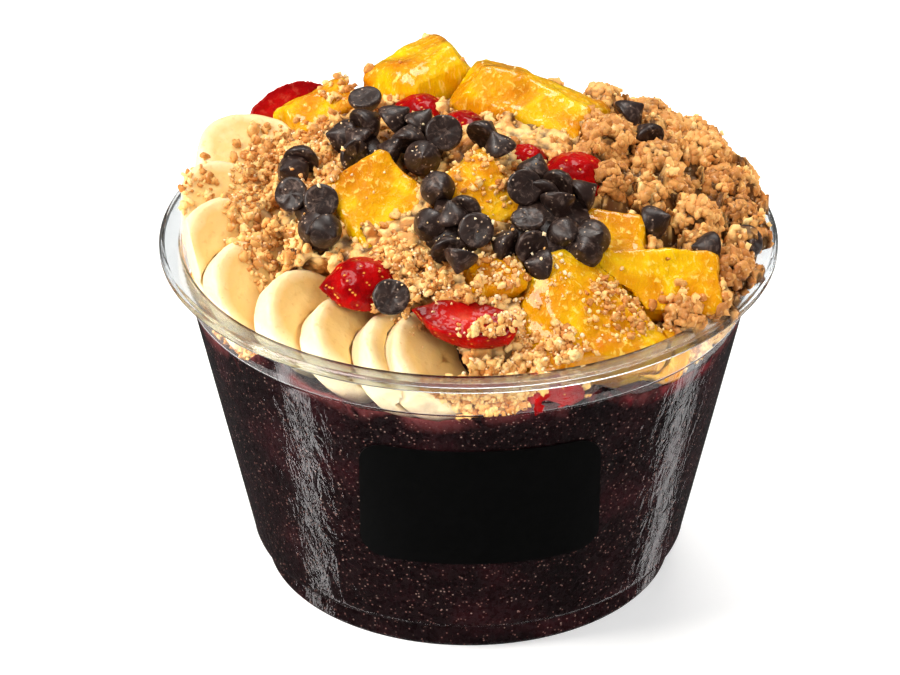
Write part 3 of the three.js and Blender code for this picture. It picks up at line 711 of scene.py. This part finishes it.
# %% [markdown]
# The chips lie in five heaps, with twelve more lying apart. Each heap is one piece, as its solid is.
# %% laying the chips down, a row for each: x, y, lift, tilt, heading
CHIP_HEAPS = {
    "chips_back_left": [
        (-31, 4, 0, 70, 200), (-27, 1, 0, 60, 150), (-24, 6, 1, 75, 40), (-28, -5, -1, 110, 130),
        (-19, -7, 0, 75, 160)],
    "chips_back": [
        (-17, 4, 2, 50, 10), (-11, 1, 2, 40, 30), (-6, -4, 1, 128, 95), (-14, -4, 1, 55, 80),
        (-11, -13, 1, 60, -90)],
    "chips_middle": [
        (-7, -23, 0, 65, -80), (0, -29, 0, 80, 60), (-4, -32, 1, 20, 120), (-10, -34, 0, 75, -120),
        (2, -37, 1, 125, 80), (-5, -39, -1, 70, 100)],
    "chips_right": [
        (16, -14, 0, 40, 60), (13, -23, 1, 120, 100), (18, -22, 0, 75, 70), (22, -18, 0, 80, 60),
        (27.5, -20, 0, 70, 30), (21, -27, 1, 140, -95), (14, -33, 0, 172, 90), (8, -38, -1, 80, 150),
        (23, -35, 0, 70, -70), (30, -35, 2, 52, -60), (27, -38, 0, 60, -100), (14, -39, 0, 100, 120),
        (16, -43, -1, 70, 200)],
    "chips_left": [
        (-35, -22, 1, 138, 95), (-41.5, -15, 0, 120, 60), (-37, -29, 0, 75, -110),
        (-33, -31, 0, 80, -60)]}
SINGLE_CHIPS = [(-25, 20, 0, 168, 60), (-40, 0, 0, 70, 80), (-43, -4, -0.5, 65, -130), (4, -1, 0, 70, 60),
                (7, -8, 1, 25, 150), (-2, -45, 1, 140, -110), (-18, -53, 1, 135, 90), (40, 25, 0, 60, 20),
                (43, 13, 0, 75, 120), (45, -22, 0, 60, -20), (56, -25, 0, 70, 200), (67, -15, 0, 62, -70)]
CORE_DROPS = (-1.2, -5)
chip_groups = dict(CHIP_HEAPS, **{f"chip_{k + 1}": [row] for k, row in enumerate(SINGLE_CHIPS)})
for number, (name, rows) in enumerate(chip_groups.items()):
    bm = bmesh.new()
    middles = [add_chip(bm, *row, seed=number * 20 + k) for k, row in enumerate(rows)]
    if name in CHIP_HEAPS:
        core = [bm.verts.new(p + Vector((0, 0, drop))) for p in middles for drop in CORE_DROPS]
        hull = bmesh.ops.convex_hull(bm, input=core)
        bmesh.ops.delete(bm, geom=[g for g in hull["geom_interior"] if isinstance(g, bmesh.types.BMVert)],
                         context="VERTS")
    piece = keep(name + "_dark", bm)
    dress(piece, "chocolate", chocolate, name)

# %% [markdown]
# Granola is rolled oats baked with syrup. It fills everything between the fruit. Its bed is the part's own
# solid, remeshed, and roughened with cell noise so that it reads as packed crumbs. Two marks serve its finish:
# a painted shade, darker the deeper a point lies between the crumbs, and how toasted its own crumb is.
# %% crumbs as relief, and the granola's finish
def crumbly(piece, seed, size, height, deep=0):
    """Pebbles of a size on the surface; the depth between them, plus deep, is kept as a mark of painted shade.
    """
    table, out = points(piece), normals(piece)
    shift = Vector((seed * 3.3, seed * 7.1, seed))
    lump = np.array([min(1.0, noise.voronoi(Vector(p) / size + shift)[0][0]) for p in table])
    fine = np.array([noise.noise(Vector(p) / (size * 0.35) + shift) for p in table])
    lift = height * (0.45 - lump) + 0.16 * height * fine
    move_points(piece, table + out * lift[:, None])
    # Painted shade: the deeper a point lies between the pebbles, or in a sunk gap, the darker its finish
    # paints it.
    mark(piece, "painted_shade", np.clip((lump - 0.3) / 0.5 + deep, 0, 1))
    toast = np.array([noise.cell(Vector(p) / (size * 1.4) + shift) for p in table])
    mark(piece, "toast", 0.5 + 0.4 * toast)


def granola_finish(name, pale, mid, brown, dark):
    finish, shader, place = new_finish(name, Roughness=0.62, IOR=1.45, Subsurface_Weight=0.1,
                                      Subsurface_Radius=(0.0015, 0.0008, 0.0003), Subsurface_Scale=1.0)
    toast = sums("ADD", times(marked(shader, "toast"), 0.6),
                 times(grain(place, 420, 5, 0.65), 0.5))
    colour = ramp(toast, (0.3, pale), (0.52, mid), (0.78, brown))
    # Painted shade: marked crevices are darkened towards the last colour.
    colour = blend(ramp(marked(shader, "painted_shade"), (0.2, 0.0), (0.9, 0.9)), colour, dark)
    flakes = ramp(grain(place, 900, 3), (0.6, 0.0), (0.72, 0.5))
    colour = blend(flakes, colour, tint(255, 226, 184))
    drive(shader, "Base Color", colour)
    under = relief(shader, grain(place, 800, 5, 0.7), 0.35, 0.7)
    relief(shader, grain(place, 2600, 2), 0.1, 0.5, under)
    worn(shader, place, 500, (0.35, 0.45), (0.7, 0.75))
    return finish


# The last colour of each granola finish is its painted crevice shade.
toasted = granola_finish("toasted_oats", tint(255, 214, 142), tint(242, 184, 106), tint(198, 126, 56),
                         tint(66, 30, 7))

# %% [markdown]
# On the right the granola is baked into knobbly clusters as large as a grape. Their places are needed already
# here, because the bed is sunk in the gaps between them, by six millimetres at most, and only near them. So
# each cluster can be told from the next.
# %% the granola bed, and a row for each cluster: x, y, lift above the mound, radius
CLUSTERS = [(34.2, 9.5, -0.5, 7.5), (28.5, 19, -0.5, 5), (33, 38, 0, 6), (44, 36, 0, 6.5), (48.4, 28, 0, 7),
            (55, 31, 0.5, 6.5), (45, 4.5, 1, 6.5), (57.4, 18.5, 1, 7.5), (34.5, -8.3, 0.5, 5.5),
            (43, -9, 0, 4.5), (61.6, 8, 1, 6), (67, 12, 1, 5), (54.7, -12, 0.5, 6.5), (65, -1.5, 1, 5.5),
            (61.5, -26.5, 1, 7), (53, -31, -0.5, 4), (54, -20, -0.5, 4.5), (58.3, -37, 0, 5.5),
            (51, -43, 0, 5), (69.5, -7, 0.5, 4), (29, 1, -0.5, 4.5), (38, 22, -1, 4.5), (47.5, 17, 0, 5),
            (66, 22, 0, 5), (50, -3, -0.5, 5), (64, -17, -0.5, 4.5)]
SINK, CLUSTERS_FROM_X, BED_RIM_Z = 6, 24, 84
bed = softened("granola", 0.75, 2)
table, out = points(bed), normals(bed)
apart = np.min([np.hypot(table[:, 0] - x, table[:, 1] - y) / r for x, y, _, r in CLUSTERS], axis=0)
in_gap = np.clip((apart - 0.6) / 0.4, 0, 1) * np.clip((2.1 - apart) / 0.5, 0, 1)
on_right = np.clip((table[:, 0] - CLUSTERS_FROM_X) / 6, 0, 1) * (table[:, 2] > BED_RIM_Z)
sunk = SINK * in_gap * on_right * np.clip(out[:, 2] * 2, 0, 1)
table[:, 2] -= sunk
move_points(bed, table)
# The sunk gaps are also painted darker, as shade, the deeper they are sunk.
crumbly(bed, 5, 2.6, 1.9, sunk / 5)
bed.name = "granola_bed"
dress(bed, "granola", toasted, "granola")

# %% [markdown]
# Loose crumbs lie on everything. Each is a small ball with few faces, pushed out of shape by noise and turned
# at random, so no two are alike. None may reach past the rim or above the part's highest point.
# %% one crumb
CRUMB_REACH, CRUMB_TOP, FINE_CRUMB = 74.4, 121.3, 1.5


def add_crumb(bm, layer, ground, out, size, rough=1.0, shades=(0, 1)):
    """Adds one crumb of a size, half sunk where it lies."""
    shape = Vector([random.uniform(0.62, 1.3) for _ in range(3)])
    spin = Matrix.Rotation(random.uniform(0, 6.28), 4, Vector([random.gauss(0, 1) for _ in range(3)]))
    shade, jitter = random.uniform(*shades), Vector([random.uniform(0, 90) for _ in range(3)])
    spot = ground + out * size * 0.18
    if math.hypot(spot.x, spot.y) + size * 0.6 > CRUMB_REACH or spot.z + size * 0.7 > CRUMB_TOP:
        return
    ball = bmesh.ops.create_icosphere(bm, subdivisions=2 if size > FINE_CRUMB else 1, radius=size / 2)
    for v in ball["verts"]:
        push = rough * noise.noise(v.co / (size * 0.36) + jitter)
        push += 0.3 * noise.noise(v.co / (size * 0.18) - jitter)
        v.co *= 1 + max(-0.5, push)
        v.co = spin @ Vector((v.co.x * shape.x, v.co.y * shape.y, v.co.z * shape.z)) + spot
        v[layer] = shade


def new_heap():
    bm = bmesh.new()
    bm.verts.layers.float.new("painted_shade")
    return bm, bm.verts.layers.float.new("toast")


# %% [markdown]
# The first crust is strewn over the bed's own surface, on steep places too, and most of it misses the sunk
# gaps. A bmesh gets slower as it grows, so the crumbs are made in small heaps, and these are poured together.
# %% the crust on the bed
CRUST_HEAPS, CRUST_FROM_Z, BARE_SINK, KEPT_THERE = 12, 76, 1.5, 0.1


def crumb_size(small, large):
    """A size between two: most crumbs are small."""
    return small + (large - small) * random.random() ** 2


def crust(name, finish, base, many, small, large, sunk, seed):
    random.seed(seed)
    table, out = points(base), normals(base)
    rows = [i for i in range(len(table)) if out[i][2] > -0.1 and table[i][2] > CRUST_FROM_Z]
    rows = [i for i in rows if sunk[i] < BARE_SINK or random.random() < KEPT_THERE]
    whole, _ = new_heap()
    for _ in range(CRUST_HEAPS):
        heap, layer = new_heap()
        for _ in range(many // CRUST_HEAPS):
            i = random.choice(rows)
            add_crumb(heap, layer, Vector(table[i]), Vector(out[i]), crumb_size(small, large))
        pour(heap, whole)
    return dress(keep(name, whole), "granola", finish, "granola")


filling = crust("granola_fill", toasted, bed, 2900, 1.0, 2.6, sunk, 20)

# %% [markdown]
# A cluster is a ball with lumps stuck all over it, each a crumb of two to three millimetres half sunk in the
# ball. The creases between the lumps are real, and a painted shade darkens them the nearer they are to its
# middle.
# %% baked clusters
CLUSTER_SINK, LUMPS_PER_AREA, CLUSTER_REACH, CORE_SHARE = 2.2, 2.6, 73, 0.72
random.seed(11)
whole, _ = new_heap()
middles = []
for x, y, lift, radius in CLUSTERS:
    heap, layer = new_heap()
    middle = Vector((x, y, mound_top(x, y) - CLUSTER_SINK + lift))
    middles.append((*middle, radius))
    stretch = Vector([random.uniform(0.85, 1.12) for _ in range(3)])
    low = random.uniform(0.15, 0.45)
    for _ in range(int(radius ** 2 * LUMPS_PER_AREA)):
        way = Vector([random.gauss(0, 1) for _ in range(3)]).normalized()
        if way.z < -0.35:
            way.z = -way.z
        size = random.uniform(1.9, 3.3)
        reach = radius - size * random.uniform(0.45, 0.75)
        spot = middle + Vector([a * b for a, b in zip(way, stretch)]) * reach
        spot.x = min(spot.x, CLUSTER_REACH - size / 2)
        add_crumb(heap, layer, spot, way, size, rough=0.6, shades=(low, low + 0.4))
    bmesh.ops.create_icosphere(heap, subdivisions=2, radius=radius * CORE_SHARE,
                               matrix=Matrix.Translation(middle))
    pour(heap, whole)
baked = granola_finish("baked_oats", tint(246, 192, 116), tint(214, 148, 78), tint(160, 94, 38),
                       tint(56, 25, 6))
clusters = keep("granola_clusters", whole)
table = points(clusters)
# Painted shade: points nearer a cluster's middle, down in its creases, are darkened.
out_from = np.min([np.linalg.norm(table - (x, y, z), axis=1) / r for x, y, z, r in middles], axis=0)
painted_crease_shade = np.clip((1.0 - out_from) * 5, 0, 1).astype(np.float32)
clusters.data.attributes["painted_shade"].data.foreach_set("value", painted_crease_shade)
dress(clusters, "granola", baked, "granola")

# %% [markdown]
# The rest is dropped from above onto what is there, and most crumbs miss the chips, as a hand would strew
# them. A second layer falls on the first, so that the heaps are really heaped. The regions say where:
# (x, y, reach in x, reach in y, how many, smallest, largest, share kept on fruit, share kept on chips).
# %% dropping crumbs
DROP_FROM_Z, DROP_REACH, LANDING_FROM_Z, KEPT_ON_CLUSTERS, BERRY_SHARE = 140, 72, 70, 0.08, 0.25


def catching(*pieces):
    """A search tree over the pieces, in millimetres."""
    corners, faces, start = [], [], 0
    for piece in pieces:
        table = points(piece)
        corners += [tuple(p) for p in table]
        faces += [tuple(start + i for i in f.vertices) for f in piece.data.polygons]
        start += len(table)
    return BVHTree.FromPolygons(corners, faces)


def landing(x, y, grounds):
    """The highest place under (x, y), and which ground it is on."""
    best = None
    for kind, ground in grounds.items():
        hit, out, _, _ = ground.ray_cast(Vector((x, y, DROP_FROM_Z)), Vector((0, 0, -1)))
        if hit is not None and (best is None or hit.z > best[0].z):
            best = (hit, out, kind)
    return best


def scatter(name, finish, regions, grounds, seed, steep=0.3):
    random.seed(seed)
    whole, _ = new_heap()
    for x, y, wide, deep, many, small, large, on_fruit, on_chips in regions:
        heap, layer = new_heap()
        share = {"granola": 1.0, "clusters": KEPT_ON_CLUSTERS, "fruit": on_fruit,
                 "berries": BERRY_SHARE * on_fruit, "chips": on_chips}
        for _ in range(many):
            a, r, chance = random.uniform(0, 2 * math.pi), math.sqrt(random.random()), random.random()
            size = crumb_size(small, large)
            at = (x + wide * r * math.cos(a), y + deep * r * math.sin(a))
            found = landing(*at, grounds) if math.hypot(*at) < DROP_REACH else None
            if found is None:
                continue
            spot, out, kind = found
            if chance <= share[kind] and out.z > steep and spot.z > LANDING_FROM_Z:
                add_crumb(heap, layer, spot, out, size)
        pour(heap, whole)
    return dress(keep(name, whole), "granola", finish, "granola")


fruit = [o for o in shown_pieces() if o.name.startswith(("mango_", "banana_"))]
berries = [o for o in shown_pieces() if o.name.startswith("strawberry_")]
chips = [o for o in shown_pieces() if o.name.endswith("_dark")]
grounds = {"granola": catching(bed, acai, filling), "clusters": catching(clusters), "fruit": catching(*fruit),
           "berries": catching(*berries), "chips": catching(*chips)}
REGIONS = [(-44, -5, 15, 27, 760, 1.0, 2.6, 1, 0.02), (-46, 18, 12, 10, 130, 1.0, 2.6, 0.8, 0),
           (-67, 4, 5.5, 12, 80, 0.9, 2.2, 1, 0), (-31, 36, 6, 5, 40, 1, 2.4, 1, 0),
           (-4, -42, 20, 9, 360, 0.9, 2.3, 0.55, 0), (12, -62, 18, 8, 520, 0.9, 2.4, 0.75, 0),
           (4, -17, 9, 11, 110, 0.8, 2.0, 1, 0), (34, -48, 8, 8, 100, 0.9, 2.1, 0.9, 0),
           (50, 2, 21, 42, 200, 1, 2.4, 0.08, 0.03), (50, -47, 11, 9, 110, 0.9, 2.6, 0.5, 0),
           (0, 50, 50, 18, 260, 1, 2.6, 0.12, 0)]
crumbs = scatter("granola_crumbs", toasted, REGIONS, grounds, 21)

# %% [markdown]
# The second layer is the same crumb, where the granola is heaped over the fruit's edges.
# %% the second layer
HEAPED = [(-43, -4, 13, 22, 640, 0.9, 2.4, 0.8, 0.02), (-46, 18, 9, 8, 60, 1, 2.4, 0.8, 0),
          (12, -62, 14, 6.5, 340, 0.9, 2.5, 0.6, 0), (-3, -42, 16, 6, 200, 0.8, 2.0, 0.5, 0),
          (34, -48, 6, 6, 50, 0.8, 1.8, 1, 0), (-19, -36, 5, 4, 70, 0.7, 1.7, 2.4, 0)]
grounds["granola"] = catching(bed, acai, filling, crumbs)
heaped = scatter("granola_heaped", toasted, HEAPED, grounds, 22)

# %% [markdown]
# Crumbs that slid down between the food and the wall lie flat against it. They are placed by their turn about
# the tub and their height: (from turn, to turn, from height, to height, how many, smallest, largest).
# %% crumbs at the wall
WALL_GAP = 0.3
WALL_REGIONS = [(-99, -74, 75, 85, 260, 1, 2.5), (-158, -138, 74.5, 79, 60, 1, 2.0),
                (-45, -8, 73, 79, 170, 1, 2.4), (-8, 180, 76, 85, 420, 1.2, 3.0),
                (-180, -158, 76, 84, 60, 1.2, 3.0)]
random.seed(24)
whole, _ = new_heap()
for low_turn, high_turn, low, high, many, small, large in WALL_REGIONS:
    heap, layer = new_heap()
    for _ in range(many):
        turn, z = math.radians(random.uniform(low_turn, high_turn)), random.uniform(low, high)
        size = random.uniform(small, large)
        inward = -Vector((math.cos(turn), math.sin(turn), 0))
        spot = inward * -(inner_radius(z) - WALL_GAP - size * 0.75)
        add_crumb(heap, layer, Vector((spot.x, spot.y, z)), inward, size)
    pour(heap, whole)
wall_crumbs = dress(keep("granola_at_wall", whole), "granola", toasted, "granola")

# %% [markdown]
# The fine dust is paler, with a little coconut in it, and it lies mostly along the middle, in front.
# %% the dust
DUST = [(0, -5, 66, 62, 200, 0.45, 1.0, 0.12, 0.12), (-44, -5, 16, 28, 300, 0.5, 1.1, 0.6, 0.1),
        (2, -46, 22, 12, 620, 0.4, 1.1, 0.45, 0.25), (-8, -10, 26, 26, 100, 0.4, 0.8, 0.1, 0.2),
        (12, -62, 18, 8, 260, 0.5, 1.2, 0.4, 0)]
coconut = granola_finish("pale_dust", tint(255, 232, 190), tint(250, 212, 154), tint(222, 162, 96),
                         tint(140, 84, 36))
grounds["granola"] = catching(bed, acai, filling, crumbs, heaped, wall_crumbs)
scatter("granola_dust", coconut, DUST, grounds, 23, steep=0.15)

# %% [markdown]
# The tub stands on plain white paper, which glows a little so that its far side stays white. The tub's clear
# wall would return the paper as a haze, so reflections don't see it.
# %% the floor
FLOOR_HALF = 4000
bm = bmesh.new()
bmesh.ops.create_grid(bm, x_segments=2, y_segments=2, size=FLOOR_HALF)
floor = keep("floor", bm)
floor.visible_glossy = False
paper, shader, place = new_finish("white_paper", Roughness=0.85, Emission_Color=(1, 1, 1, 1),
                                  Emission_Strength=0.3)
drive(shader, "Base Color", ramp(grain(place, 3, 2), (0.3, tint(246, 246, 246)), (0.7, tint(250, 250, 250))))
floor.data.materials.append(paper)


# %% [markdown]
# A large soft light from the left, as from a studio window, is the main one. A weaker one shines from above
# and behind, which draws the tops of the food. Two low strips and a fill in front open the shadows, and
# reflections don't see them.
# %% the lights
def soft_light(name, spot, aim, size, power, colour=(1, 1, 1), seen=True):
    """A square lamp at a spot, turned to its aim; lengths in metres, power in watts."""
    lamp = bpy.data.lights.new(name, "AREA")
    lamp.shape, lamp.size, lamp.energy, lamp.color = "SQUARE", size, power, colour
    stand = bpy.data.objects.new(name, lamp)
    stand.location = spot
    stand.rotation_euler = (Vector(aim) - Vector(spot)).to_track_quat("-Z", "Y").to_euler()
    bpy.context.scene.collection.objects.link(stand)
    stand.visible_glossy = seen


HEAP, WALL = (0, 0, 0.08), (0, 0, 0.05)
soft_light("window", (-0.85, -0.25, 1.05), HEAP, 0.7, 17.5, (1, 0.96, 0.9))
soft_light("overhead", (0.15, 0.55, 1.15), HEAP, 0.5, 8, (1, 0.97, 0.93))
soft_light("left_strip", (-0.75, -0.14, 0.1), WALL, 0.18, 4, seen=False)
soft_light("right_strip", (0.72, 0.28, 0.1), WALL, 0.18, 4, seen=False)
soft_light("front_fill", (0.45, -1.0, 0.75), WALL, 0.7, 9, seen=False)

# %% [markdown]
# The surround is dim, and a little lighter upwards. Below the horizon it has two upright bright bands, like
# two soft boxes beside the table. The tub's wall leans outwards, so it looks down and returns them as its two
# long highlights.
# %% the surround
BANDS = ((173.5, 1.5, 3.6), (36, 4, 1.5))
BAND_SOFTNESS = 4
world = bpy.data.worlds.new("studio")
bpy.context.scene.world = world
world.use_nodes = True
tree = world.node_tree
way = node(tree, "TexCoord").outputs["Generated"]
height = height_on(way)
glow = ramp(height, (0.0, 0.04), (0.02, 0.07), (0.5, 0.11), (1.0, 0.16))
flat = feed(node(tree, "VectorMath", operation="MULTIPLY"), {0: way, 1: (1, 1, 0)})
level = node(tree, "VectorMath", [(0, flat.outputs[0])], operation="NORMALIZE").outputs[0]
low = ramp(times(height, -1), (0.3, 0.0), (0.45, 1.0))
for turn, half_width, power in BANDS:
    turn, outer, inner = (math.radians(a) for a in (turn, half_width + BAND_SOFTNESS, half_width))
    towards = feed(node(tree, "VectorMath", operation="DOT_PRODUCT"),
                   {0: level, 1: (math.cos(turn), math.sin(turn), 0)})
    strip = ramp(towards.outputs["Value"], (math.cos(outer), 0.0), (math.cos(inner), 1.0))
    glow = sums("ADD", glow, times(times(strip, low), power))
tree.links.new(glow, tree.nodes["Background"].inputs["Color"])
bpy.context.scene.view_settings.view_transform = "Standard"

# %% [markdown]
# The camera looks down at about thirty degrees from well back, with a long lens, so that the rim is a calm
# ellipse. It is turned a little past its target, which puts the bowl where it is wanted in the frame.
# %% the camera
DOWN, AWAY, TARGET = math.radians(29.3), 1.3, Vector((0, 0, 0.06))
FOCAL_PIXELS, TARGET_RIGHT, TARGET_UP = 5307.0, 18.5, 7.0
lens = bpy.data.cameras.new("camera")
lens.sensor_width, lens.lens = 36, 212.3
lens.clip_start, lens.clip_end = 0.05, 20
camera = bpy.data.objects.new("camera", lens)
bpy.context.scene.collection.objects.link(camera)
behind = Vector((0, -math.cos(DOWN), math.sin(DOWN)))
camera.location = TARGET + behind * AWAY
right = (-behind).cross(Vector((0, 0, 1))).normalized()
up = right.cross(-behind)
facing = Matrix((right, up, behind)).transposed()
ray = Vector((TARGET_RIGHT, TARGET_UP, -FOCAL_PIXELS)).normalized()
camera.rotation_euler = (facing @ ray.rotation_difference(Vector((0, 0, -1))).to_matrix()).to_euler()
bpy.context.scene.camera = camera
